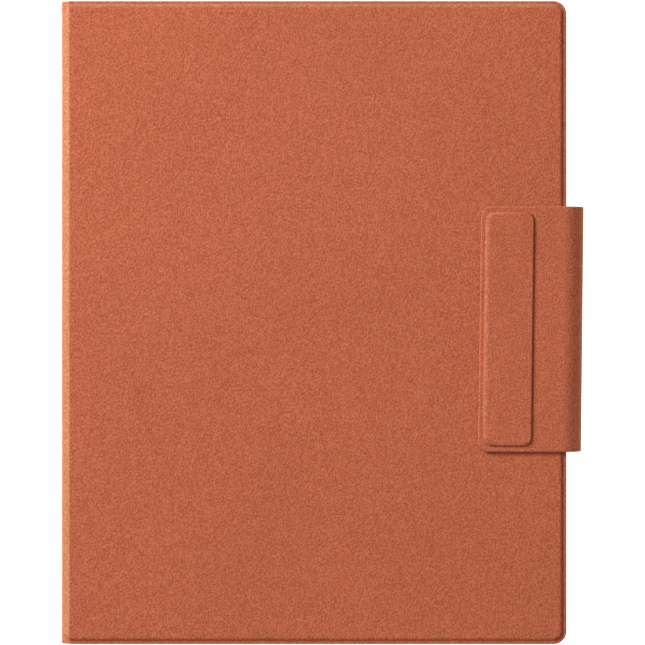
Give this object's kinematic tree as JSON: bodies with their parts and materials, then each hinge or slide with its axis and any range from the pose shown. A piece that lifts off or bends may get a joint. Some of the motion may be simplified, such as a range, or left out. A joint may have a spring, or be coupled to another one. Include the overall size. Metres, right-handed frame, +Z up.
{
  "type": "e-reader in folio cover",
  "caption": "Slim e-reader inside a closed microfibre folio cover with a folding spine and a wrap-round magnetic closure flap with a raised pad.",
  "frame": {"origin": "middle of the closed part's footprint, on the table that the back cover lies on", "axes": "+Z up out of the front cover, +Y towards the top edge of the reader, +X from the spine towards the flap's strap"},
  "size_m": [0.1952, 0.24, 0.0117],
  "materials": {
    "outer_microfibre": "suede",
    "lining_microfibre": "suede",
    "greyboard": "matte",
    "steel": "satin",
    "magnet": "plated",
    "shell_metal": "bead-blasted",
    "bezel_plastic": "matte",
    "lens_plastic": "clear",
    "epaper": "matte",
    "led_tape": "matte",
    "circuit_board": "solder mask",
    "chip_plastic": "matte",
    "flex_circuit": "satin",
    "pouch_foil": "satin"
  },
  "bodies": {
    "back_case": {"back_outer_skin": "outer_microfibre", "back_board": "greyboard", "back_lining": "lining_microfibre", "hold_magnets_back": "magnet", "strap_tab": "outer_microfibre"},
    "spine": {"spine_outer_skin": "outer_microfibre", "spine_stiffener": "greyboard", "spine_lining": "lining_microfibre"},
    "front_cover": {"front_outer_skin": "outer_microfibre", "front_board": "greyboard", "front_lining": "lining_microfibre", "closure_keeper": "steel", "sleep_magnet": "magnet"},
    "strap": {"strap_outer_skin": "outer_microfibre", "strap_lining": "lining_microfibre"},
    "flap": {"flap_outer_skin": "outer_microfibre", "flap_lining": "lining_microfibre", "flap_pad_board": "greyboard", "flap_magnets": "magnet"},
    "button": {"power_button": "shell_metal"},
    "reader": {"rear_housing": "shell_metal", "mid_frame": "shell_metal", "frame_screws": "steel", "bezel_frame": "bezel_plastic", "cover_lens": "lens_plastic", "touch_sensor": "lens_plastic", "light_guide": "lens_plastic", "led_strip": "led_tape", "epaper_panel": "epaper", "display_flex": "flex_circuit", "main_board": "circuit_board", "processor": "chip_plastic", "memory_chips": "chip_plastic", "power_chip": "chip_plastic", "radio_module": "shell_metal", "hall_sensor": "chip_plastic", "board_connectors": "chip_plastic", "shield_can": "steel", "usb_shell": "steel", "usb_tongue": "chip_plastic", "battery_cells": "pouch_foil", "battery_board": "circuit_board", "battery_lead": "flex_circuit", "antenna": "flex_circuit", "antenna_cable": "chip_plastic", "hold_magnets_reader": "magnet", "button_flex": "flex_circuit", "power_switch": "chip_plastic"}
  },
  "joints": [
    {"name": "reader_slide", "type": "slide", "parent": "back_case", "child": "reader", "axis": [0, 1, 0], "range_m": [0, 0.245]},
    {"name": "button_press", "type": "slide", "parent": "reader", "child": "button", "axis": [0, -1, 0], "range_m": [0, 0.0003], "stiffness_N_per_m": 5000},
    {"name": "spine_fold", "type": "hinge", "parent": "back_case", "child": "spine", "pos_m": [-0.09595, 0, 0.00165], "axis": [0, -1, 0], "range_deg": [0, 90]},
    {"name": "cover_fold", "type": "hinge", "parent": "spine", "child": "front_cover", "pos_m": [-0.09595, 0, 0.00795], "axis": [0, -1, 0], "range_deg": [0, 90]},
    {"name": "strap_fold", "type": "hinge", "parent": "back_case", "child": "strap", "pos_m": [0.0966, 0, 0.00165], "axis": [0, 1, 0], "range_deg": [0, 88]},
    {"name": "flap_fold", "type": "hinge", "parent": "strap", "child": "flap", "pos_m": [0.0966, 0, 0.0099], "axis": [0, 1, 0], "range_deg": [0, 88]}
  ],
  "couplings": [
    {"joint": "cover_fold", "follows": "spine_fold", "ratio": 1},
    {"joint": "flap_fold", "follows": "strap_fold", "ratio": 1}
  ]
}
